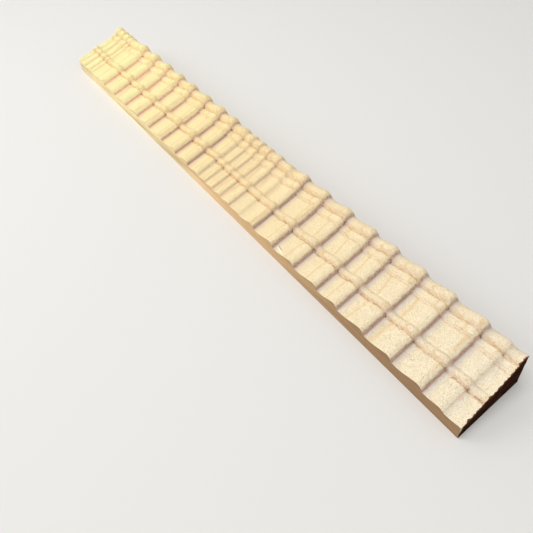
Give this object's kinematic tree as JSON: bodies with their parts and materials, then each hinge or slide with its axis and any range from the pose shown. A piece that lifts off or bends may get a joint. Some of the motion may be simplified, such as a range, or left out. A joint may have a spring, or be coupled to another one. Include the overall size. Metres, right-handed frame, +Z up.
{
  "type": "ripple moulding",
  "caption": "Straight wedge-section strip of pale wood with a bead, a stepped shoulder and waves cut across its whole moulded face.",
  "frame": {"origin": "middle of the flat underside", "axes": "+X along the strip, from the square end with the close ripples to the leaning end; +Y across it, from the thin side to the thick side; +Z up, out of the rippled face"},
  "size_m": [0.3048, 0.0342, 0.0192],
  "materials": {
    "wood": "bare, planed and scraped, with fuzzy grain at the steps and sawn ends"
  },
  "bodies": {
    "root": {"ripple_moulding": "wood"}
  },
  "joints": []
}
